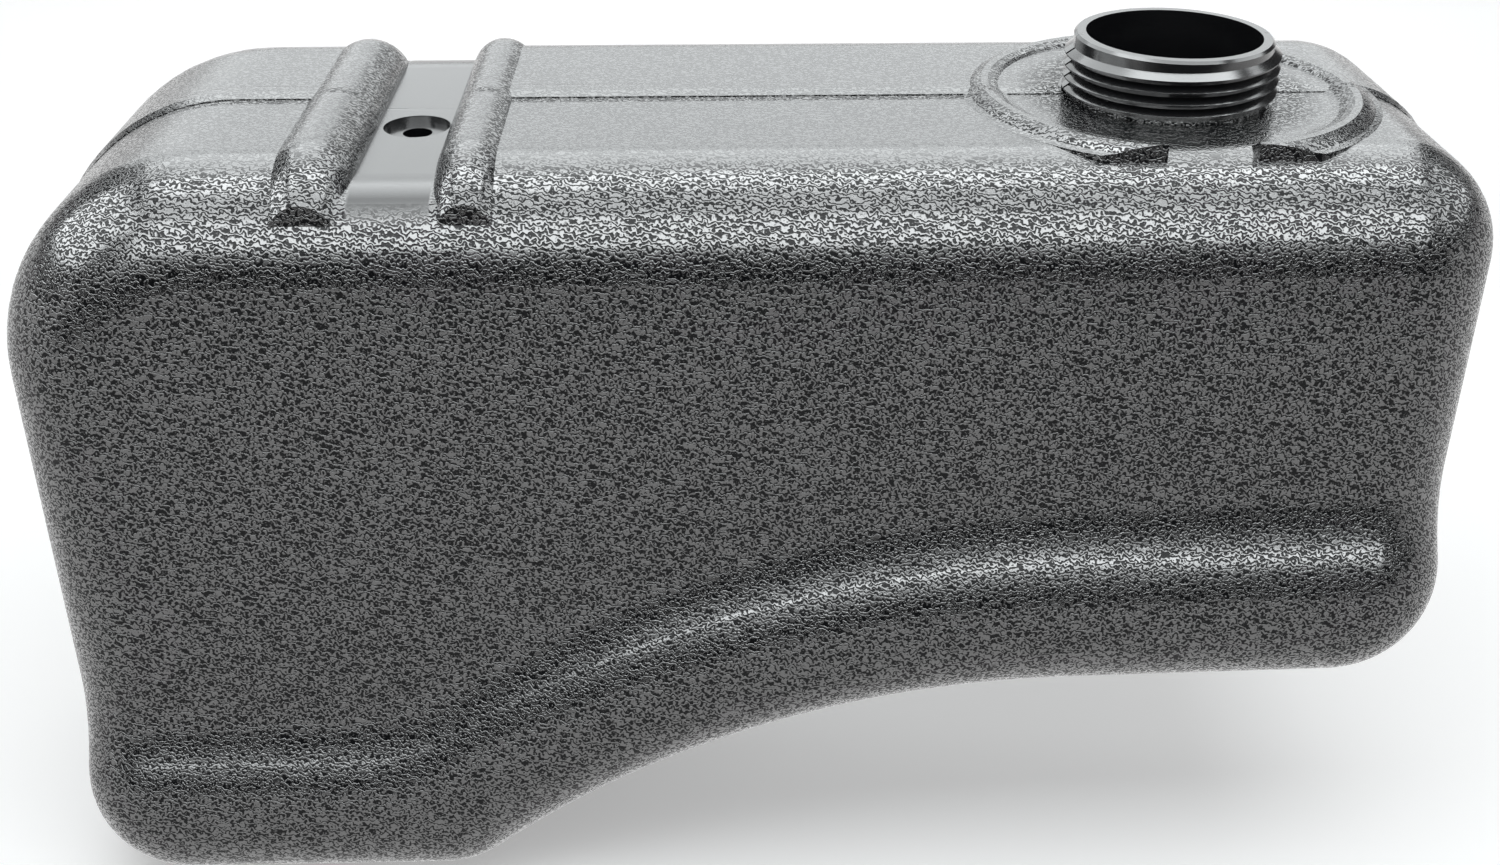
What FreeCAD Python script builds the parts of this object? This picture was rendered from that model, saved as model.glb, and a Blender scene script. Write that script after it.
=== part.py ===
import FreeCAD, Part
import Sketcher
import math
import os

# Fuel tank, blow moulded in one piece: a hollow shell with an arch under it for a wheel.
# Millimetres. The origin is where the filler neck's axis crosses the top surface.
# +X runs along the tank towards the neck's end, +Y to the back, +Z up.

os.makedirs("parts", exist_ok=True)
doc = FreeCAD.newDocument("fuel_tank")

SIZES = (
    ("wall", 4.0, "wall of the moulded shell"),
    ("left_end", -432.0, "X of the deep end"),
    ("right_end", 108.5, "X of the shallow end, beside the neck"),
    ("front_depth", 91.0, "front wall, from the parting plane"),
    ("back_depth", 97.0, "back wall, from the parting plane"),
    ("left_base", -304.0, "Z of the flat base under the deep end"),
    ("underside_slope", 1.15, "degrees that the underside climbs past the arch"),
    ("arch_x", -31.0, "X of the wheel arch's centre"),
    ("arch_top", -214.4, "Z of the wheel arch's highest point"),
    ("arch_radius", 370.0, "radius of the wheel arch"),
    ("top_left_radius", 80.0, "side view corner, top of the deep end"),
    ("top_right_radius", 40.0, "side view corner, top of the shallow end"),
    ("base_corner_radius", 43.0, "side view corners at the two lower ends"),
    ("arch_corner_radius", 40.0, "side view corner where the arch starts"),
    ("edge_radius", 37.0, "rounding of the front and back edges, all round"),
    ("skirt_proud", 14.0, "how far the skirt stands out of the front and back walls"),
    ("skirt_face", 55.0, "height of the skirt's upright face above the underside"),
    ("shoulder_run", 22.0, "height of the skirt's sloping shoulder"),
    ("shoulder_radius", 42.0, "softening of the shoulder's two edges"),
    ("shoulder_corner_radius", 40.0, "bend of the shoulder where the arch starts"),
    ("step_y", 0.8, "Y of the parting step across the top"),
    ("step_height", 1.5, "how much higher the top is behind the step"),
    ("step_run", 5.0, "depth of the sloping face of the step"),
    ("step_slope_height", 1.2, "height of the sloping face of the step"),
    ("channel_left", -298.0, "X of the strap channel's left side"),
    ("channel_right", -270.7, "X of the strap channel's right side"),
    ("channel_depth", 7.5, "strap channel, below the top surface"),
    ("channel_run", 32.0, "from the front or back wall to the channel's level floor"),
    ("channel_end_radius", 70.0, "curve of the floor down to the edges"),
    ("rib_height", 4.5, "strap ribs, above the top surface"),
    ("rib_inset", 6.0, "cut-off ends of the ribs, in from the front and back walls"),
    ("wide_rib_radius", 15.9, "round back of the left rib"),
    ("narrow_rib_radius", 12.2, "round back of the right rib"),
    ("rib_turn", 62.0, "degrees that the ribs bend over the front and back edges"),
    ("vent_x", -284.3, "X of the vent hole, in the middle of the channel"),
    ("vent_y", -9.0, "Y of the vent hole"),
    ("vent_bore", 11.0, "diameter of the vent hole"),
    ("vent_seat", 25.0, "diameter of the spot face round the vent hole"),
    ("vent_seat_depth", 2.6, "depth of the spot face"),
    ("neck_height", 23.4, "rim above the top surface"),
    ("neck_radius", 37.0, "outside of the neck, at the thread's root"),
    ("neck_bore", 65.4, "bore of the neck"),
    ("rim_bevel", 1.0, "bevel of the rim's outer edge"),
    ("flare_radius", 57.0, "where the swell round the neck starts"),
    ("flare_height", 0.8, "height of the swell where it meets the neck, above the front of the top"),
    ("thread_radius", 40.0, "thread, over its crests"),
    ("thread_pitch", 4.4, "one start, right hand"),
    ("thread_start", 0.3, "height of the thread's lowest crest"),
    ("thread_rise", 17.6, "rise of the thread from end to end"),
    ("thread_crest_width", 0.6, "width of the thread's crest"),
    ("thread_lead_flank", 2.5, "height of the flank above the crest, which slopes up to the neck"),
    ("thread_back_flank", 0.7, "height of the steep flank below the crest"),
    ("thread_sunk", 0.6, "how deep the ridge's root lies in the neck"),
    ("seam_gap", 1.6, "break of the thread at the parting plane"),
    ("dam_radius", 69.5, "spill dam round the neck, middle of its crest"),
    ("dam_width", 18.0, "spill dam, across its foot"),
    ("dam_height", 3.7, "spill dam, above the top surface"),
    ("dam_inset", 23.0, "plane where the dam is cut off, in from the front wall"),
    ("dam_gap", 32.0, "opening of the dam at the front"),
)

size = {alias: value for alias, value, meaning in SIZES}
sheet = doc.addObject("Spreadsheet::Sheet", "Sizes")
for row, (alias, value, meaning) in enumerate(SIZES, 1):
    sheet.set(f"A{row}", meaning)
    sheet.set(f"B{row}", str(value))
    sheet.setAlias(f"B{row}", alias)
doc.recompute()

# how far working shapes run past the tank before they are trimmed
OVERRUN = 60.0
# the shoulder's slope is drawn this many times longer than the part of it that shows
SLOPE_REACH = 1.8


def total(*terms):
    """A sum of named sizes, multiples of them and numbers: its expression and present value."""
    text, number = "0", 0.0
    for term in terms:
        factor = 1.0
        if isinstance(term, tuple):
            factor, term = term
        if isinstance(term, str):
            if term.startswith("-"):
                factor, term = -factor, term[1:]
            text += f" + ({factor}) * Sizes.{term}"
            number += factor * size[term]
        else:
            text += f" + ({factor * term})"
            number += factor * term
    return text, number


def less(terms):
    """The same sizes, taken away."""
    return tuple(term[1:] if term.startswith("-") else "-" + term for term in terms)


def new_body(name):
    body = doc.addObject("PartDesign::Body", name)
    body.Label = name
    return body


def sketch_on(body, role, name):
    """A sketch on one of the body's own planes."""
    sketch = body.newObject("Sketcher::SketchObject", name)
    plane = next(f for f in body.Origin.OriginFeatures if f.Role == role)
    sketch.AttachmentSupport = (plane, [""])
    sketch.MapMode = "FlatFace"
    return sketch


def bind(sketch, kind, where, amount):
    """A driving constraint that follows the sheet."""
    text, number = amount
    index = sketch.addConstraint(Sketcher.Constraint(kind, *where, number))
    sketch.setExpression(f"Constraints[{index}]", text)


def place(sketch, item, end, x, y):
    """Hold one end of an element at a place given by two sums."""
    bind(sketch, "DistanceX", (-1, 1, item, end), x)
    bind(sketch, "DistanceY", (-1, 1, item, end), y)


def link(sketch, kind, *where):
    sketch.addConstraint(Sketcher.Constraint(kind, *where))


def line(sketch, start, end):
    a, b = FreeCAD.Vector(*start, 0), FreeCAD.Vector(*end, 0)
    return sketch.addGeometry(Part.LineSegment(a, b))


def arc(sketch, centre, radius, start_degrees, end_degrees):
    circle = Part.Circle(FreeCAD.Vector(*centre, 0), FreeCAD.Vector(0, 0, 1), radius)
    limits = (math.radians(start_degrees), math.radians(end_degrees))
    return sketch.addGeometry(Part.ArcOfCircle(circle, *limits))


def outline(sketch, corners):
    """A closed outline of straight sides through corners, each a pair of sums."""
    sides = []
    for index, (x, y) in enumerate(corners):
        next_x, next_y = corners[(index + 1) % len(corners)]
        sides.append(line(sketch, (x[1], y[1]), (next_x[1], next_y[1])))
    for index, (x, y) in enumerate(corners):
        link(sketch, "Coincident", sides[index - 1], 2, sides[index], 1)
        place(sketch, sides[index], 1, x, y)


def rectangle(sketch, low, high):
    """A rectangle between two corners."""
    outline(sketch, (low, (high[0], low[1]), high, (low[0], high[1])))


def underside(sketch, left, right, rise, corner):
    """Base, wheel arch and sloping underside from left to right, raised by a sum.

    Returns the first line and the last one, whose outer ends are still free along X.
    """
    radius = total("arch_radius", *rise)
    base = total("left_base", *rise)
    centre = total("arch_x"), total("arch_top", "-arch_radius")
    lift = base[1] + corner[1] - centre[1][1]
    turn = math.asin(lift / (radius[1] + corner[1]))
    corner_x = size["arch_x"] - (radius[1] + corner[1]) * math.cos(turn)
    slope = size["underside_slope"]
    top = (size["arch_x"], centre[1][1] + radius[1])
    flat = line(sketch, (left, base[1]), (corner_x, base[1]))
    middle = (corner_x, base[1] + corner[1])
    bend = arc(sketch, middle, corner[1], 270, 360 - math.degrees(turn))
    middle = (centre[0][1], centre[1][1])
    arch = arc(sketch, middle, radius[1], 90 + slope, 180 - math.degrees(turn))
    climb = line(sketch, top, (right, top[1] + 2))
    link(sketch, "Horizontal", flat)
    link(sketch, "Tangent", flat, 2, bend, 1)
    link(sketch, "Tangent", bend, 2, arch, 2)
    link(sketch, "Tangent", arch, 1, climb, 1)
    bind(sketch, "Radius", (bend,), corner)
    bind(sketch, "Radius", (arch,), radius)
    place(sketch, arch, 3, *centre)
    bind(sketch, "DistanceY", (-1, 1, flat, 1), base)
    bind(sketch, "Angle", (climb,), (f"{total('underside_slope')[0]}", math.radians(slope)))
    return flat, climb


def corner_arc(sketch, before, after, middle, radius, start):
    """A quarter round from the end of one line to the start of the next, counter-clockwise."""
    corner = arc(sketch, middle, radius[1], start, start + 90)
    link(sketch, "Tangent", before, 2, corner, 1)
    link(sketch, "Tangent", corner, 2, after, 1)
    bind(sketch, "Radius", (corner,), radius)


def side_view(sketch, skin):
    """The whole outline seen from the front, drawn inside itself by the skin."""
    inside = less(skin)
    left, right = total("left_end", *skin), total("right_end", *inside)
    top = total(*inside)
    low = total("base_corner_radius", *inside)
    left_top, right_top = total("top_left_radius", *inside), total("top_right_radius", *inside)
    bend = total("arch_corner_radius", *inside)
    foot = size["arch_top"] + low[1]
    start = left[1] + low[1], size["left_base"] + low[1]
    lid_start = right[1] - right_top[1], top[1] - right_top[1]
    lid_end = left[1] + left_top[1], top[1] - left_top[1]
    flat, climb = underside(sketch, start[0], right[1] - low[1], skin, bend)
    wall = line(sketch, (right[1], foot), (right[1], lid_start[1]))
    lid = line(sketch, (lid_start[0], top[1]), (lid_end[0], top[1]))
    end = line(sketch, (left[1], lid_end[1]), (left[1], start[1]))
    corner_arc(sketch, wall, lid, lid_start, right_top, 0)
    corner_arc(sketch, lid, end, lid_end, left_top, 90)
    corner_arc(sketch, end, flat, start, low, 180)
    corner_arc(sketch, climb, wall, (right[1] - low[1], foot), low, 270)
    link(sketch, "Horizontal", lid)
    link(sketch, "Vertical", wall)
    link(sketch, "Vertical", end)
    bind(sketch, "DistanceX", (-1, 1, wall, 1), right)
    bind(sketch, "DistanceX", (-1, 1, end, 1), left)
    bind(sketch, "DistanceY", (-1, 1, lid, 1), top)


def finish_feature(feature, grows):
    """Work the feature out and make sure that it added or took away material."""
    base = feature.BaseFeature.Shape.Volume if feature.BaseFeature else 0.0
    doc.recompute()
    change = feature.Shape.Volume - base
    if "Invalid" in feature.State or change * (1 if grows else -1) <= 0:
        raise RuntimeError(f"{feature.Label} did not change the shape as it should: {change}")
    return feature


def pad(body, sketch, name, ahead, behind=None, turned=False):
    feature = body.newObject("PartDesign::Pad", name)
    return set_reach(feature, sketch, ahead, behind, turned, True)


def pocket(body, sketch, name, ahead, behind=None, turned=False):
    feature = body.newObject("PartDesign::Pocket", name)
    return set_reach(feature, sketch, ahead, behind, turned, False)


def set_reach(feature, sketch, ahead, behind, turned, grows):
    feature.Profile = sketch
    feature.Reversed = turned
    feature.setExpression("Length", ahead[0])
    if behind is not None:
        feature.SideType = "Two sides"
        feature.setExpression("Length2", behind[0])
    return finish_feature(feature, grows)


def edges_where(feature, test):
    """Names of a feature's edges that pass a test of the edge and its middle point."""
    names = []
    for number, edge in enumerate(feature.Shape.Edges, 1):
        if edge.Degenerated:
            continue
        middle = edge.valueAt(0.5 * (edge.FirstParameter + edge.LastParameter))
        if test(edge, middle):
            names.append(f"Edge{number}")
    if not names:
        raise RuntimeError(f"no edge of {feature.Label} passes")
    return names


def fillet(body, feature, name, radius, test):
    result = body.newObject("PartDesign::Fillet", name)
    result.Base = (feature, edges_where(feature, test))
    result.setExpression("Radius", radius[0])
    doc.recompute()
    if "Invalid" in result.State:
        raise RuntimeError(f"{name} cannot be rounded")
    return result


def chamfer(body, feature, name, lengths, test):
    result = body.newObject("PartDesign::Chamfer", name)
    result.Base = (feature, edges_where(feature, test))
    result.ChamferType = "Two distances"
    result.setExpression("Size", lengths[0][0])
    result.setExpression("Size2", lengths[1][0])
    doc.recompute()
    if "Invalid" in result.State:
        raise RuntimeError(f"{name} cannot be bevelled")
    return result


def facing(shape, edge, middle):
    """The faces beside an edge, each with how squarely it looks to the front or back."""
    found = []
    for face in shape.ancestorsOfType(edge, Part.Face):
        u, v = face.Surface.parameter(middle)
        found.append((abs(face.normalAt(u, v).y), face))
    return sorted(found, key=lambda pair: pair[0])


def outer_rim(feature, edge, middle, front, back):
    """True for the edges where the front or back surface meets the sides."""
    if -front + 1 < middle.y < back - 1:
        return False
    (side, side_face), (flank, flank_face) = facing(feature.Shape, edge, middle)
    return side < 0.02 and flank > 0.5


def cut_outline(body, name, skin, ahead, behind):
    """Take away all that lies outside the side view."""
    ring = sketch_on(body, "XZ_Plane", f"{name}_outline")
    side_view(ring, skin)
    low = total("left_end", -2 * OVERRUN), total("left_base", -2 * OVERRUN)
    rectangle(ring, low, (total("right_end", 2 * OVERRUN), total(3 * OVERRUN)))
    return pocket(body, ring, f"{name}_trim", ahead, behind, turned=True)


def upper_line(feature, edge, middle):
    """True for the long edges of the skirt plate that follow its upper line."""
    if -size["front_depth"] < middle.y < size["back_depth"]:
        return False
    (side, side_face), (flank, flank_face) = facing(feature.Shape, edge, middle)
    u, v = side_face.Surface.parameter(middle)
    return side < 0.02 and side_face.normalAt(u, v).z > 0.3


def shoulder_line(feature, edge, middle, front, back):
    """True for the two long edges of the sloping shoulder, at the front and at the back."""
    if -front + 1 < middle.y < back - 1 or edge.Length < 5:
        return False
    (lean, lean_face), (flat, flat_face) = facing(feature.Shape, edge, middle)
    return 0.3 < lean < 0.99 < flat


def step_line(feature, edge, middle):
    """True for the outer edge of the parting step."""
    if abs(middle.y - size["step_y"]) > 0.01:
        return False
    (side, side_face), (flank, flank_face) = facing(feature.Shape, edge, middle)
    return side < 0.02 and flank > 0.99 and side_face.CenterOfMass.y > middle.y + 1


def rough_form(name, skin):
    """Walls and skirt with the sloping shoulder between them, still without an outline."""
    body = new_body(name)
    inside = less(skin)
    front, back = total("front_depth", *inside), total("back_depth", *inside)
    skirt_front = total("front_depth", "skirt_proud", *inside)
    skirt_back = total("back_depth", "skirt_proud", *inside)
    far_left, far_right = total("left_end", -OVERRUN), total("right_end", OVERRUN)
    far_down = total("left_base", -OVERRUN)

    # the skirt starts as a thick plate under a line that runs beside the underside
    plate_sketch = sketch_on(body, "XZ_Plane", f"{name}_skirt_line")
    rise = ("skirt_face", (SLOPE_REACH, "shoulder_run"))
    corner = total("shoulder_corner_radius")
    flat, climb = underside(plate_sketch, far_left[1], far_right[1], rise, corner)
    down = line(plate_sketch, (far_right[1], 0), (far_right[1], far_down[1]))
    across = line(plate_sketch, (far_right[1], far_down[1]), (far_left[1], far_down[1]))
    up = line(plate_sketch, (far_left[1], far_down[1]), (far_left[1], 0))
    link(plate_sketch, "Coincident", climb, 2, down, 1)
    link(plate_sketch, "Vertical", down)
    link(plate_sketch, "Coincident", down, 2, across, 1)
    link(plate_sketch, "Horizontal", across)
    link(plate_sketch, "Coincident", across, 2, up, 1)
    link(plate_sketch, "Coincident", up, 2, flat, 1)
    link(plate_sketch, "Vertical", up)
    place(plate_sketch, across, 1, far_right, far_down)
    bind(plate_sketch, "DistanceX", (-1, 1, across, 2), far_left)
    plate = pad(body, plate_sketch, f"{name}_skirt", skirt_front, skirt_back)

    # its upper edge slopes back into the walls
    lengths = total((SLOPE_REACH, "skirt_proud")), total((SLOPE_REACH, "shoulder_run"))
    chamfer(body, plate, f"{name}_shoulder", lengths,
            lambda edge, middle: upper_line(plate, edge, middle))

    # the walls rise through it as one slab
    slab_sketch = sketch_on(body, "XZ_Plane", f"{name}_slab_side")
    rectangle(slab_sketch, (far_left, far_down), (far_right, total("step_height", *inside)))
    pad(body, slab_sketch, f"{name}_slab", front, back)
    return body


def moulded_form(name):
    """The tank's outside: a softened shoulder, two halves that part at the step, and roundings."""
    body = rough_form(name, ())
    slab = body.Tip
    front, back = total("front_depth"), total("back_depth")
    skirt_front = total("front_depth", "skirt_proud")
    skirt_back = total("back_depth", "skirt_proud")
    fillet(body, slab, f"{name}_softened", total("shoulder_radius"),
           lambda edge, middle: shoulder_line(slab, edge, middle, front[1], back[1]))

    # the side view is cut through the whole depth, then a smaller one through the front half
    cut_outline(body, f"{name}_whole", ("-step_height",), skirt_front, skirt_back)
    half = cut_outline(body, f"{name}_front_half", (), skirt_front, total("step_y"))
    slope = total("step_slope_height"), total("step_run")
    eased = chamfer(body, half, f"{name}_step_slope", slope,
                    lambda edge, middle: step_line(half, edge, middle))
    fillet(body, eased, f"{name}_edges", total("edge_radius"),
           lambda edge, middle: outer_rim(eased, edge, middle, front[1], back[1]))
    return body


def inner_form(name):
    """The space inside: the same side views and depth drawn in by the wall."""
    skin = ("wall",)
    body = rough_form(name, skin)
    front, back = total("front_depth", "-wall"), total("back_depth", "-wall")
    skirt_front = total("front_depth", "skirt_proud", "-wall")
    skirt_back = total("back_depth", "skirt_proud", "-wall")
    slab = body.Tip
    fillet(body, slab, f"{name}_softened", total("shoulder_radius", "-wall"),
           lambda edge, middle: shoulder_line(slab, edge, middle, front[1], back[1]))
    cut_outline(body, f"{name}_whole", ("-step_height", *skin), skirt_front, skirt_back)
    half = cut_outline(body, f"{name}_front_half", skin, skirt_front, total("step_y"))
    fillet(body, half, f"{name}_edges", total("edge_radius", "-wall"),
           lambda edge, middle: outer_rim(half, edge, middle, front[1], back[1]))
    return body


def channel_cut(body, name, low_x, high_x, skin):
    """The strap channel: level in the middle, its floor curving down towards both edges."""
    floor = total(*less(("channel_depth",)), *less(skin))
    radius = total("channel_end_radius", *less(skin))
    ends = total("-front_depth", "channel_run"), total("back_depth", "-channel_run")
    centre_z = floor[1] - radius[1]
    swing = 50
    profile = sketch_on(body, "YZ_Plane", f"{name}_channel_floor")
    reach = radius[1] * math.sin(math.radians(swing))
    low = centre_z + radius[1] * math.cos(math.radians(swing))
    front_y, back_y = ends[0][1], ends[1][1]
    level = line(profile, (front_y, floor[1]), (back_y, floor[1]))
    back = arc(profile, (back_y, centre_z), radius[1], 90 - swing, 90)
    front = arc(profile, (front_y, centre_z), radius[1], 90, 90 + swing)
    left_up = line(profile, (front_y - reach, low), (front_y - reach, OVERRUN))
    lid = line(profile, (front_y - reach, OVERRUN), (back_y + reach, OVERRUN))
    right_up = line(profile, (back_y + reach, OVERRUN), (back_y + reach, low))
    link(profile, "Tangent", front, 1, level, 1)
    link(profile, "Tangent", level, 2, back, 2)
    link(profile, "Coincident", front, 2, left_up, 1)
    link(profile, "Coincident", left_up, 2, lid, 1)
    link(profile, "Coincident", lid, 2, right_up, 1)
    link(profile, "Coincident", right_up, 2, back, 1)
    link(profile, "Horizontal", level)
    link(profile, "Horizontal", lid)
    link(profile, "Vertical", left_up)
    link(profile, "Vertical", right_up)
    bind(profile, "Radius", (front,), radius)
    bind(profile, "Radius", (back,), radius)
    place(profile, level, 1, ends[0], floor)
    bind(profile, "DistanceX", (-1, 1, level, 2), ends[1])
    bind(profile, "DistanceX", (-1, 1, left_up, 1), total("-front_depth", "channel_run", -reach))
    bind(profile, "DistanceX", (-1, 1, right_up, 1), total("back_depth", "-channel_run", reach))
    bind(profile, "DistanceY", (-1, 1, lid, 1), total(OVERRUN))
    profile.setExpression("AttachmentOffset.Base.z", low_x[0])
    width = f"({high_x[0]}) - ({low_x[0]})", high_x[1] - low_x[1]
    return pocket(body, profile, f"{name}_channel", width, turned=True)


def strap_rib(name, middle_x, radius):
    """A half-round rib bent over the front and back edges and cut off upright."""
    body = new_body(name)
    depth = total("rib_height", f"-{radius}")
    bend = total("edge_radius", "rib_height", f"-{radius}")
    turn = size["rib_turn"]
    front_y = total("-front_depth", "edge_radius")
    back_y = total("back_depth", "-edge_radius")
    path = sketch_on(body, "YZ_Plane", f"{name}_path")
    path.setExpression("AttachmentOffset.Base.z", middle_x[0])
    low = -size["edge_radius"]
    front = arc(path, (front_y[1], low), bend[1], 90, 90 + turn)
    level = line(path, (front_y[1], depth[1]), (back_y[1], depth[1]))
    back = arc(path, (back_y[1], low), bend[1], 90 - turn, 90)
    link(path, "Tangent", front, 1, level, 1)
    link(path, "Tangent", level, 2, back, 2)
    link(path, "Horizontal", level)
    for end, centre_y in ((front, front_y), (back, back_y)):
        bind(path, "Radius", (end,), bend)
    place(path, front, 3, front_y, total("-edge_radius"))
    bind(path, "DistanceX", (-1, 1, back, 3), back_y)
    reach = bend[1] * math.sin(math.radians(turn))
    bind(path, "DistanceX", (-1, 1, front, 2), total("-front_depth", "edge_radius", -reach))
    bind(path, "DistanceX", (-1, 1, back, 1), total("back_depth", "-edge_radius", reach))
    section = sketch_on(body, "XZ_Plane", f"{name}_section")
    circle = Part.Circle(FreeCAD.Vector(middle_x[1], depth[1], 0), FreeCAD.Vector(0, 0, 1), 5)
    ring = section.addGeometry(circle)
    place(section, ring, 3, middle_x, depth)
    bind(section, "Radius", (ring,), total(radius))
    pipe = body.newObject("PartDesign::AdditivePipe", f"{name}_pipe")
    pipe.Profile = section
    pipe.Spine = path
    doc.recompute()
    ends = sketch_on(body, "YZ_Plane", f"{name}_end_cuts")
    ends.setExpression("AttachmentOffset.Base.z", total(OVERRUN)[0])
    low, high = total("-edge_radius", -OVERRUN), total(OVERRUN)
    front_cut, back_cut = total("-front_depth", "rib_inset"), total("back_depth", "-rib_inset")
    rectangle(ends, (total("-front_depth", -OVERRUN), low), (front_cut, high))
    rectangle(ends, (back_cut, low), (total("back_depth", OVERRUN), high))
    pocket(body, ends, f"{name}_ends", total("-left_end", OVERRUN))
    return body


def circle_on(sketch, x, y, diameter):
    """A circle held at a place given by two sums."""
    middle = FreeCAD.Vector(x[1], y[1], 0)
    ring = sketch.addGeometry(Part.Circle(middle, FreeCAD.Vector(0, 0, 1), diameter[1] / 2))
    place(sketch, ring, 3, x, y)
    bind(sketch, "Diameter", (ring,), diameter)


def spin(body, sketch, name):
    """Turn a half section round the Z axis."""
    turned = body.newObject("PartDesign::Revolution", name)
    turned.Profile = sketch
    turned.ReferenceAxis = (sketch, ["V_Axis"])
    return finish_feature(turned, True)


def spill_dam():
    """A low round-backed ring about the neck, cut off along a plane and open at the front."""
    body = new_body("spill_dam")
    section = sketch_on(body, "XZ_Plane", "dam_section")
    # a bell in seven flats: shares of half the width, and of the height
    shape = ((-1.0, 0.0), (-0.72, 0.19), (-0.43, 0.68), (-0.15, 0.98),
             (0.15, 0.98), (0.43, 0.68), (0.72, 0.19), (1.0, 0.0))
    corners = [(total("dam_radius", (x / 2, "dam_width")), total((z, "dam_height")))
               for x, z in shape]
    foot = total("-wall")
    corners = [(corners[0][0], foot)] + corners + [(corners[-1][0], foot)]
    outline(section, corners)
    spin(body, section, "dam_ring")
    cut = sketch_on(body, "XY_Plane", "dam_front_cut")
    far = total("dam_radius", OVERRUN)
    away = total("-dam_radius", -OVERRUN)
    plane = total("-front_depth", "dam_inset")
    deep = total("-front_depth", -OVERRUN)
    left, right = total((-0.5, "dam_gap")), total((0.5, "dam_gap"))
    outline(cut, ((away, deep), (far, deep), (far, plane), (right, plane), (right, total()),
                  (left, total()), (left, plane), (away, plane)))
    reach = total(OVERRUN)
    pocket(body, cut, "dam_opening", reach, reach)
    return body


def filler_neck():
    """The neck, its swell on the top surface and its thread, broken where the mould parts."""
    body = new_body("filler_neck")
    neck_x, height = size["neck_radius"], size["neck_height"]
    flare_x, flare_z, rim = size["flare_radius"], size["flare_height"], size["rim_bevel"]
    low = -size["step_height"]
    wide = flare_x - neck_x
    sweep = (wide ** 2 + flare_z ** 2) / (2 * flare_z)
    foot = -size["wall"]
    section = sketch_on(body, "XZ_Plane", "neck_section")
    angle = math.degrees(math.asin(wide / sweep))
    base = line(section, (0, foot), (flare_x, foot))
    side = line(section, (flare_x, foot), (flare_x, low))
    swell = arc(section, (flare_x, low + sweep), sweep, 270 - angle, 270)
    outer = line(section, (neck_x, low + flare_z), (neck_x, height - rim))
    corner = line(section, (neck_x, height - rim), (neck_x - rim, height))
    lid = line(section, (neck_x - rim, height), (0, height))
    axis = line(section, (0, height), (0, foot))
    link(section, "Coincident", base, 2, side, 1)
    link(section, "Coincident", side, 2, swell, 2)
    link(section, "Coincident", swell, 1, outer, 1)
    link(section, "Coincident", outer, 2, corner, 1)
    link(section, "Coincident", corner, 2, lid, 1)
    link(section, "Coincident", lid, 2, axis, 1)
    link(section, "Coincident", axis, 2, base, 1)
    link(section, "Horizontal", base)
    link(section, "Vertical", side)
    link(section, "Vertical", outer)
    link(section, "Horizontal", lid)
    link(section, "Vertical", axis)
    place(section, base, 1, total(), total("-wall"))
    place(section, side, 2, total("flare_radius"), total("-step_height"))
    place(section, swell, 1, total("neck_radius"), total("flare_height", "-step_height"))
    bind(section, "DistanceX", (-1, 1, swell, 3), total("flare_radius"))
    bind(section, "DistanceY", (-1, 1, lid, 1), total("neck_height"))
    bind(section, "DistanceY", (-1, 1, outer, 2), total("neck_height", "-rim_bevel"))
    bind(section, "DistanceX", (-1, 1, corner, 2), total("neck_radius", "-rim_bevel"))
    spin(body, section, "neck_turned")

    ridge = sketch_on(body, "XZ_Plane", "thread_section")
    root, crest = total("neck_radius", "-thread_sunk"), total("thread_radius")
    low, high = (-0.5, "thread_crest_width"), (0.5, "thread_crest_width")
    outline(ridge, ((root, total("thread_start", low, "-thread_back_flank")),
                    (crest, total("thread_start", low)),
                    (crest, total("thread_start", high)),
                    (root, total("thread_start", high, "thread_lead_flank"))))
    thread = body.newObject("PartDesign::AdditiveHelix", "thread")
    thread.Profile = ridge
    thread.ReferenceAxis = (ridge, ["V_Axis"])
    thread.Mode = "pitch-height-angle"
    thread.setExpression("Pitch", "Sizes.thread_pitch")
    thread.setExpression("Height", "Sizes.thread_rise")
    finish_feature(thread, True)

    breaks = sketch_on(body, "XY_Plane", "thread_breaks")
    half = (0.5, "seam_gap")
    low_y, high_y = total((-0.5, "seam_gap")), total(half)
    rectangle(breaks, (total("-thread_radius", -1), low_y), (total("-neck_radius"), high_y))
    rectangle(breaks, (total("neck_radius"), low_y), (total("thread_radius", 1), high_y))
    tall = total("neck_height", "-rim_bevel")
    pocket(body, breaks, "thread_seam", tall, turned=True)
    return body


# the moulded form, with the channel for the strap and the seat of the vent
outer = moulded_form("outer")
wide_x = total("channel_left", "-wide_rib_radius")
narrow_x = total("channel_right", "narrow_rib_radius")
channel_cut(outer, "outer", wide_x, narrow_x, ())
seat = sketch_on(outer, "XY_Plane", "vent_seat_place")
circle_on(seat, total("vent_x"), total("vent_y"), total("vent_seat"))
seat.setExpression("AttachmentOffset.Base.z", "-Sizes.channel_depth - Sizes.vent_seat_depth")
pocket(outer, seat, "vent_spot_face", total("vent_seat_depth", "rib_height"), turned=True)

# the space inside it keeps the wall closed under the channel and the vent
cavity = inner_form("cavity")
channel_cut(cavity, "cavity", total("channel_left", "-wall"), total("channel_right", "wall"),
            ("wall",))
under_vent = sketch_on(cavity, "XY_Plane", "vent_boss_place")
circle_on(under_vent, total("vent_x"), total("vent_y"), total("vent_seat", (2, "wall")))
floor = total("-channel_depth", "-vent_seat_depth", "-wall")
under_vent.setExpression("AttachmentOffset.Base.z", floor[0])
pocket(cavity, under_vent, "vent_boss", total(OVERRUN), turned=True)

wide_rib = strap_rib("wide_rib", wide_x, "wide_rib_radius")
narrow_rib = strap_rib("narrow_rib", narrow_x, "narrow_rib_radius")
dam = spill_dam()
neck = filler_neck()

shell = doc.addObject("Part::MultiFuse", "outside")
shell.Shapes = [outer, wide_rib, narrow_rib, dam, neck]
doc.recompute()

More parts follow.
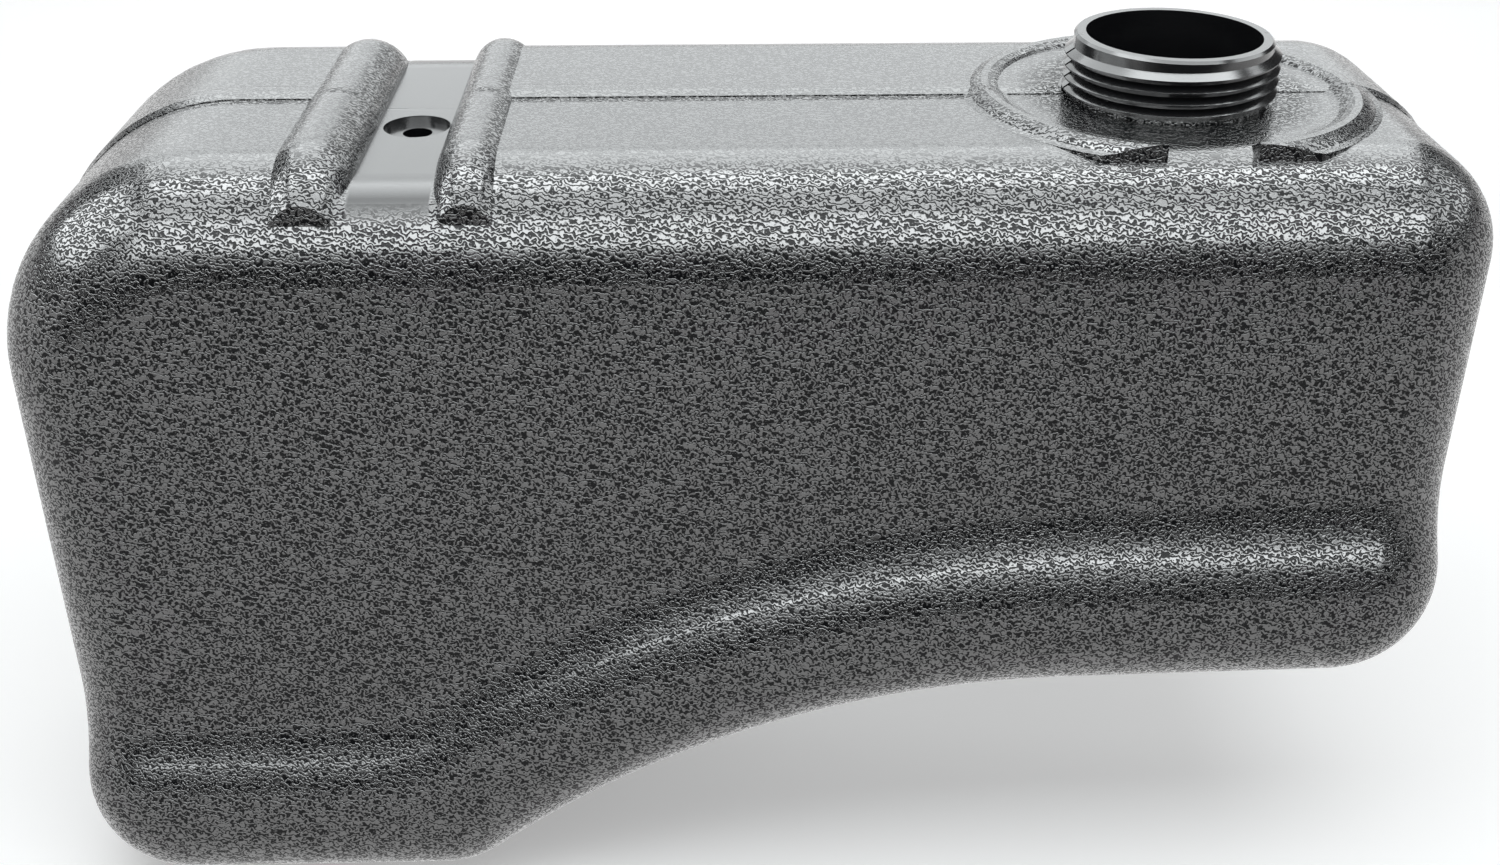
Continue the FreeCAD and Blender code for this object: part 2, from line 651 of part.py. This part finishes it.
bore = doc.addObject("Part::Cylinder", "neck_bore")
bore.setExpression("Radius", "Sizes.neck_bore / 2")
bore.setExpression("Height", "Sizes.neck_height + 5 * Sizes.wall")
bore.setExpression("Placement.Base.z", "-4 * Sizes.wall")
vent = doc.addObject("Part::Cylinder", "vent_bore")
vent.setExpression("Radius", "Sizes.vent_bore / 2")
vent.setExpression("Height", "Sizes.channel_depth + Sizes.vent_seat_depth + 4 * Sizes.wall")
vent.setExpression("Placement.Base.x", "Sizes.vent_x")
vent.setExpression("Placement.Base.y", "Sizes.vent_y")
vent.setExpression("Placement.Base.z", "-Sizes.channel_depth - Sizes.vent_seat_depth - 3 * Sizes.wall")
hollow = doc.addObject("Part::MultiFuse", "hollow")
hollow.Shapes = [cavity, bore, vent]
doc.recompute()

tank = doc.addObject("Part::Cut", "tank")
tank.Label = "tank"
tank.Base = shell
tank.Tool = hollow
doc.recompute()

for item in doc.Objects:
    if "Invalid" in item.State or "Error" in item.State:
        raise RuntimeError(f"{item.Label} failed: {item.State}")
if tank.Shape.isNull() or not tank.Shape.isValid() or len(tank.Shape.Solids) != 1:
    raise RuntimeError("the tank is not one sound solid")
tank.Shape.exportStep("parts/tank.step")
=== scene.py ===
import math

import bpy
from mathutils import Matrix, Vector


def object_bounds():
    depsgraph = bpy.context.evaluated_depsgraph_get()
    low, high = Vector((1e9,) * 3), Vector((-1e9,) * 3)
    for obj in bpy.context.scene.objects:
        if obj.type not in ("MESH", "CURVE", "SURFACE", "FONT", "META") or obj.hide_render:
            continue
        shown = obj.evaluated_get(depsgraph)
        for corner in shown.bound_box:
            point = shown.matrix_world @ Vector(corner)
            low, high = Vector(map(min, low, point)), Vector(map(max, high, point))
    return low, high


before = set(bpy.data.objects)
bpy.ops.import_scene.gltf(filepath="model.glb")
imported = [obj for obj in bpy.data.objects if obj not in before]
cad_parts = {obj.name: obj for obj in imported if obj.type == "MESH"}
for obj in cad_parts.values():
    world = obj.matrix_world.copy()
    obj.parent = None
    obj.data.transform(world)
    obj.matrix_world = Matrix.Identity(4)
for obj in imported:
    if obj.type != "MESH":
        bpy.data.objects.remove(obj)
cad_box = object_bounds()
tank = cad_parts["tank"]
MM = 0.001


def linear(hex_colour):
    """An sRGB hex colour as linear RGBA."""
    channels = [int(hex_colour[i:i + 2], 16) / 255 for i in (1, 3, 5)]
    return [c / 12.92 if c <= 0.04045 else ((c + 0.055) / 1.055) ** 2.4 for c in channels] + [1.0]


def node(tree, kind, inputs=None, **settings):
    """Adds a node; inputs maps a socket to a value or to an output of another node."""
    added = tree.nodes.new(kind)
    for name, value in settings.items():
        setattr(added, name, value)
    for socket, value in (inputs or {}).items():
        if isinstance(value, bpy.types.NodeSocket):
            tree.links.new(value, added.inputs[socket])
        else:
            added.inputs[socket].default_value = value
    return added


def empty_material(name):
    material = bpy.data.materials.new(name)
    material.use_nodes = True
    material.node_tree.nodes.clear()
    return material


# High-density polyethylene, blow moulded in a grained steel mould: near black all through, with a
# waxy sheen and a leather grain of fine wrinkles. Where the mould was plain it is smooth.
WRINKLE_PITCH = 0.95 * MM
WRINKLE_DEPTH = 0.13 * MM
WRINKLE_MAZE = 3.0
LEVEL_GRAIN = 0.3
SKIN_UNEVEN = 0.03 * MM
MOULD_LINE_HEIGHT = 0.25 * MM
VENT_PLACE = (-284.3 * MM, -9.0 * MM, 0)
STEP_PLACE = 1.9 * MM
LINE_PLACE = 11.7 * MM
polyethylene = empty_material("polyethylene_blow_moulded")
tree = polyethylene.node_tree
coordinates = node(tree, "ShaderNodeTexCoord").outputs
place = coordinates["Object"]
x, y, z = node(tree, "ShaderNodeSeparateXYZ", {0: place}).outputs
upward = node(tree, "ShaderNodeSeparateXYZ", {0: coordinates["Normal"]}).outputs["Z"]


def edge(value, outside, inside):
    """The inputs of a Map Range that goes smoothly from 0 to 1 between two values in millimetres."""
    return {"Value": value, "From Min": outside * MM, "From Max": inside * MM}


def region(*edges):
    """A mask that is 1 where every one of several edges is passed."""
    mask = None
    for inputs in edges:
        side = node(tree, "ShaderNodeMapRange", inputs, interpolation_type="SMOOTHSTEP").outputs["Result"]
        mask = side if mask is None else node(tree, "ShaderNodeMath", {0: mask, 1: side},
                                              operation="MULTIPLY").outputs[0]
    return mask


# the neck, its bore and the vent's seat were pressed by polished parts of the mould
flat_place = node(tree, "ShaderNodeCombineXYZ", {0: x, 1: y}).outputs[0]
neck_distance = node(tree, "ShaderNodeVectorMath", {0: flat_place}, operation="LENGTH").outputs["Value"]
vent_distance = node(tree, "ShaderNodeVectorMath", {0: flat_place, 1: VENT_PLACE},
                     operation="DISTANCE").outputs["Value"]
neck = region(edge(neck_distance, 41.2, 40.6), edge(z, 0.8, 1.6))
vent = region(edge(vent_distance, 12.9, 12.4), edge(z, -7.5, -7.9), edge(z, -20, -18))
polished = node(tree, "ShaderNodeMath", {0: neck, 1: vent}, operation="MAXIMUM").outputs[0]

# the strap channel is plain, and the grain is shallow on the level top, except on the slope
# of the step and on the swell round the neck
across = node(tree, "ShaderNodeMath", {0: y}, operation="ABSOLUTE").outputs[0]
channel = region(edge(x, -299.6, -298.2), edge(x, -270.2, -271.2), edge(z, -5, -7),
                 edge(z, -20, -18), edge(across, 86, 78))
plain = node(tree, "ShaderNodeMath", {0: polished, 1: channel}, operation="MAXIMUM").outputs[0]
from_step = node(tree, "ShaderNodeMath", {0: y, 1: STEP_PLACE}, operation="ADD").outputs[0]
from_step = node(tree, "ShaderNodeMath", {0: from_step}, operation="ABSOLUTE").outputs[0]
step = region(edge(from_step, 3.2, 2.4), edge(neck_distance, 64, 66))
swell = region(edge(neck_distance, 60, 46))
full_grain = node(tree, "ShaderNodeMath", {0: step, 1: swell}, operation="MAXIMUM").outputs[0]
level_top = region({"Value": upward, "From Min": 0.86, "From Max": 0.995}, edge(z, -16, -6))
level_top = node(tree, "ShaderNodeMapRange", {"Value": full_grain, "To Min": level_top,
                                              "To Max": 0.0}).outputs[0]
depth = node(tree, "ShaderNodeMapRange", {"Value": level_top, "To Min": 1.0,
                                          "To Max": LEVEL_GRAIN}).outputs[0]
depth = node(tree, "ShaderNodeMapRange", {"Value": plain, "To Min": depth, "To Max": 0.0}).outputs[0]

# wrinkles: raised folds with narrow creases between them, in a maze that runs a little more along
# the tank than across it
along = node(tree, "ShaderNodeVectorMath", {0: place, 1: (0.3, 1, 1)},
             operation="DOT_PRODUCT").outputs["Value"]
along = node(tree, "ShaderNodeMath", {0: along, 1: 0.35 / WRINKLE_PITCH}, operation="MULTIPLY").outputs[0]
maze = node(tree, "ShaderNodeTexNoise", {"Vector": place, "Scale": 0.5 / WRINKLE_PITCH, "Detail": 1.0,
                                         "Roughness": 0.4}).outputs["Fac"]
turns = node(tree, "ShaderNodeMath", {0: maze, 1: WRINKLE_MAZE, 2: along},
             operation="MULTIPLY_ADD").outputs[0]
fold = node(tree, "ShaderNodeMath", {0: turns, 1: 0.5}, operation="PINGPONG").outputs[0]
fold = node(tree, "ShaderNodeMapRange", {"Value": fold, "From Min": 0.11, "From Max": 0.38},
            interpolation_type="SMOOTHSTEP").outputs["Result"]
wrinkles = node(tree, "ShaderNodeMath", {0: fold, 1: depth}, operation="MULTIPLY").outputs[0]
hollow = node(tree, "ShaderNodeMath", {0: depth, 1: wrinkles}, operation="SUBTRACT").outputs[0]
grain = node(tree, "ShaderNodeBump", {"Height": wrinkles, "Strength": 1.0, "Distance": WRINKLE_DEPTH})

# two hair lines of the mould: one on each side of the neck, one behind the step at the deep end
behind_step = node(tree, "ShaderNodeMath", {0: y, 1: LINE_PLACE}, operation="SUBTRACT").outputs[0]
behind_step = node(tree, "ShaderNodeMath", {0: behind_step}, operation="ABSOLUTE").outputs[0]
top_line = region(edge(behind_step, 0.7, 0.2), edge(x, -378, -374), edge(x, -196, -200), edge(z, -14, -12))
neck_line = region(edge(across, 0.8, 0.3), edge(neck_distance, 34, 35), edge(neck_distance, 42, 41),
                   edge(z, -1, 0))
mould_lines = node(tree, "ShaderNodeMath", {0: top_line, 1: neck_line}, operation="MAXIMUM").outputs[0]
lined = node(tree, "ShaderNodeBump", {"Height": mould_lines, "Strength": 1.0,
                                      "Distance": MOULD_LINE_HEIGHT, "Normal": grain.outputs[0]})
cloudy = node(tree, "ShaderNodeTexNoise", {"Vector": place, "Scale": 3.0 / WRINKLE_PITCH, "Detail": 2.0})
skin = node(tree, "ShaderNodeBump", {"Height": cloudy.outputs["Fac"], "Strength": 0.4,
                                     "Distance": SKIN_UNEVEN, "Normal": lined.outputs[0]})

# waxy on the grain, duller in the channel, glossy where the mould was polished
rough = node(tree, "ShaderNodeMapRange", {"Value": channel, "To Min": 0.22, "To Max": 0.34}).outputs[0]
rough = node(tree, "ShaderNodeMapRange", {"Value": polished, "To Min": rough, "To Max": 0.15}).outputs[0]
# painted shade: the coat's sheen sits on the wrinkles and is taken off in the hollows between them,
# standing in for the shade that falls in the creases
coat_with_painted_shade_and_sheen = node(tree, "ShaderNodeMapRange", {"Value": hollow, "To Min": 1.0, "To Max": 0.03}).outputs[0]
# painted sheen: the coat is made stronger where the channel's floor faces straight up than on the bend at
# its front end
painted_sheen_by_facing = node(tree, "ShaderNodeMapRange", {"Value": upward, "From Min": 0.965, "From Max": 0.995,
                                         "To Min": 0.35, "To Max": 0.9}).outputs[0]
coat_with_painted_shade_and_sheen = node(tree, "ShaderNodeMapRange", {"Value": channel, "To Min": coat_with_painted_shade_and_sheen, "To Max": painted_sheen_by_facing}).outputs[0]
coat_with_painted_shade_and_sheen = node(tree, "ShaderNodeMapRange", {"Value": polished, "To Min": coat_with_painted_shade_and_sheen, "To Max": 0.65}).outputs[0]
shade = node(tree, "ShaderNodeMix", {0: cloudy.outputs["Fac"], "A": linear("#0b0c0e"),
                                     "B": linear("#131416")}, data_type="RGBA").outputs["Result"]
# Coat Weight carries the painted shade in the wrinkle hollows and the painted sheen on the channel's level
# floor
shader = node(tree, "ShaderNodeBsdfPrincipled", {"Base Color": shade, "Roughness": rough,
                                                 "Specular IOR Level": 0.1, "IOR": 1.54,
                                                 "Normal": skin.outputs[0],
                                                 "Coat Weight": coat_with_painted_shade_and_sheen, "Coat Roughness": 0.17,
                                                 "Coat IOR": 2.2,
                                                 "Coat Normal": skin.outputs[0]})
node(tree, "ShaderNodeOutputMaterial", {"Surface": shader.outputs[0]})

tank.data.materials.clear()
tank.data.materials.append(polyethylene)

# floor and backdrop: one pale sheet that looks white behind the object and keeps its shadow
FLOOR_CLEARANCE = 0.2 * MM
floor_level = cad_box[0][2] - FLOOR_CLEARANCE
bpy.ops.mesh.primitive_plane_add(size=12, location=(0, 0, floor_level))
floor = bpy.context.object
floor.name = "floor"
paper = empty_material("white_paper_sheet")
tree = paper.node_tree
seen = node(tree, "ShaderNodeLightPath").outputs
lit = node(tree, "ShaderNodeBsdfDiffuse", {"Color": linear("#e9e9e9")})
glow = node(tree, "ShaderNodeEmission", {"Color": (1, 1, 1, 1), "Strength": 0.32})
both = node(tree, "ShaderNodeAddShader", {0: lit.outputs[0], 1: glow.outputs[0]})
mirrored = node(tree, "ShaderNodeMath", {0: seen["Is Glossy Ray"], 1: seen["Is Transmission Ray"]},
                operation="MAXIMUM").outputs[0]
white = node(tree, "ShaderNodeEmission", {"Color": (1, 1, 1, 1), "Strength": 1.0})
mixed = node(tree, "ShaderNodeMixShader", {0: seen["Is Camera Ray"], 1: lit.outputs[0], 2: both.outputs[0]})
mixed = node(tree, "ShaderNodeMixShader", {0: mirrored, 1: mixed.outputs[0], 2: white.outputs[0]})
node(tree, "ShaderNodeOutputMaterial", {"Surface": mixed.outputs[0]})
floor.data.materials.append(paper)

# black felt low in front, seen only in reflections: it draws the dark bands of the walls
near, far, lying, top = -0.76, -1.20, floor_level + 2 * MM, floor_level + 0.36
profile = ((near, lying), (far, lying), (far, top))
corners = [(side, y_place, z_place) for side in (-1.9, 1.6) for y_place, z_place in profile]
card_mesh = bpy.data.meshes.new("black_card")
card_mesh.from_pydata(corners, [], [(0, 1, 4, 3), (1, 2, 5, 4)])
card = bpy.data.objects.new("black_card", card_mesh)
bpy.context.scene.collection.objects.link(card)
card.visible_camera = False
card.visible_diffuse = False
card.visible_shadow = False
felt = empty_material("black_felt")
dark = node(felt.node_tree, "ShaderNodeBsdfDiffuse", {"Color": linear("#101010")})
node(felt.node_tree, "ShaderNodeOutputMaterial", {"Surface": dark.outputs[0]})
card.data.materials.append(felt)

# world: a plain light on the object; it looks white low down and dark above
world = bpy.data.worlds.new("studio")
bpy.context.scene.world = world
world.use_nodes = True
tree = world.node_tree
tree.nodes.clear()
seen = node(tree, "ShaderNodeLightPath").outputs
shown = node(tree, "ShaderNodeMath", {0: seen["Is Camera Ray"], 1: seen["Is Glossy Ray"]},
             operation="MAXIMUM").outputs[0]
shown = node(tree, "ShaderNodeMath", {0: shown, 1: seen["Is Transmission Ray"]},
             operation="MAXIMUM").outputs[0]
air = node(tree, "ShaderNodeBackground", {"Color": (1, 1, 1, 1), "Strength": 0.35})
direction = node(tree, "ShaderNodeTexCoord").outputs["Generated"]
height = node(tree, "ShaderNodeSeparateXYZ", {0: direction}).outputs["Z"]
ceiling = node(tree, "ShaderNodeMapRange", {"Value": height, "From Min": 0.03, "From Max": 0.10,
                                            "To Min": 1.0, "To Max": 0.05}).outputs["Result"]
white = node(tree, "ShaderNodeBackground", {"Color": (1, 1, 1, 1), "Strength": ceiling})
sky = node(tree, "ShaderNodeMixShader", {0: shown, 1: air.outputs[0], 2: white.outputs[0]})
node(tree, "ShaderNodeOutputWorld", {"Surface": sky.outputs[0]})


COOL_WHITE = (0.955, 0.99, 1.0)


def soft_lamp(name, place, aim, width, height, radiance, lights_all=True):
    """A rectangular soft lamp that faces a point, or a panel that only reflections show."""
    lamp = bpy.data.lights.new(name, "AREA")
    lamp.shape = "RECTANGLE"
    lamp.size, lamp.size_y = width, height
    lamp.energy = radiance * math.pi * width * height
    lamp.color = COOL_WHITE
    body = bpy.data.objects.new(name, lamp)
    body.location = place
    body.rotation_euler = (Vector(aim) - Vector(place)).to_track_quat("-Z", "Y").to_euler()
    body.visible_camera = False
    body.visible_diffuse = lights_all
    bpy.context.scene.collection.objects.link(body)


# two lamps light the object; the panels form an arch over it from the front to the back
middle = (-0.16, 0, -0.08)
soft_lamp("overhead_soft_box", (-0.16, -0.44, 1.20), middle, 2.0, 0.86, 3.0)
soft_lamp("back_panel", (-0.16, 1.50, 0.60), (-0.16, 0, 0), 2.4, 0.90, 1.6)
soft_lamp("high_back_panel", (-0.16, 0.59, 1.13), middle, 2.1, 1.30, 3.2, False)
soft_lamp("top_panel", (-0.16, 0.05, 1.26), middle, 2.0, 0.56, 3.6, False)
soft_lamp("left_panel", (-1.60, -0.10, 0.80), middle, 1.6, 0.90, 5.5, False)
soft_lamp("right_panel", (1.28, -0.10, 0.80), middle, 1.6, 0.90, 3.0, False)
soft_lamp("front_panel", (-0.16, -1.09, 0.71), middle, 2.2, 0.82, 5.5, False)
soft_lamp("low_front_panel", (-0.30, -1.33, 0.22), middle, 2.4, 0.30, 0.8, False)

# camera: solved from the photograph, whose width and focal length are in its pixels
PHOTO_WIDTH = 1500
PHOTO_FOCAL_LENGTH = 1717.3
camera = bpy.data.cameras.new("camera")
camera.sensor_fit = "HORIZONTAL"
camera.sensor_width = 36.0
camera.lens = camera.sensor_width * PHOTO_FOCAL_LENGTH / PHOTO_WIDTH
camera.clip_start = 0.01
viewer = bpy.data.objects.new("camera", camera)
yaw, pitch, roll = (math.radians(a) for a in (1.726, 28.924, -0.113))
ahead = Vector((math.sin(yaw) * math.cos(pitch), math.cos(yaw) * math.cos(pitch), -math.sin(pitch)))
level = Vector((math.cos(yaw), -math.sin(yaw), 0))
down = ahead.cross(level)
right = math.cos(roll) * level + math.sin(roll) * down
up = math.sin(roll) * level - math.cos(roll) * down
turn = Matrix((right, up, -ahead)).transposed().to_4x4()
viewer.matrix_world = Matrix.Translation((-0.17796, -0.63134, 0.20358)) @ turn
bpy.context.scene.collection.objects.link(viewer)
bpy.context.scene.camera = viewer
bpy.context.scene.view_settings.view_transform = "Standard"
